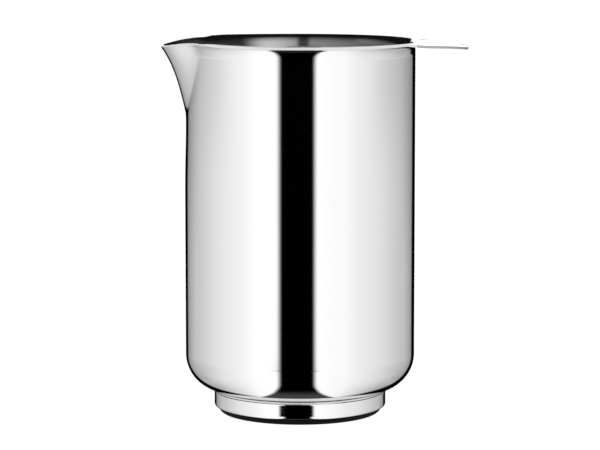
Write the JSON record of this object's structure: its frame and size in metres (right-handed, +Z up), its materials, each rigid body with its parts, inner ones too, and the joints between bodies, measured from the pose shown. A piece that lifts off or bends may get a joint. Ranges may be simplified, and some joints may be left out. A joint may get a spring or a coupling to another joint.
{
  "type": "mixing jug",
  "caption": "Tall polished steel mixing jug with a pressed pouring spout, a flat finger tab opposite it and a narrower foot on a soft non-slip ring.",
  "frame": {"origin": "centre of the jug's footprint box, on the surface that it stands on", "axes": "+Z up, +X from the spout towards the finger tab, +Y across; the jug's own axis of turning is 6.8 mm towards the spout from the origin, because the tab reaches further out than the spout"},
  "size_m": [0.1466, 0.1178, 0.1794],
  "materials": {
    "polished_steel": "mirror-polished outside, satin inside",
    "pressed_steel": "polished, with a satin underside",
    "black_silicone": "matt moulded"
  },
  "bodies": {
    "root": {"jug_body": "polished_steel", "foot_ring": "pressed_steel", "anti_slip_ring": "black_silicone"}
  },
  "joints": []
}
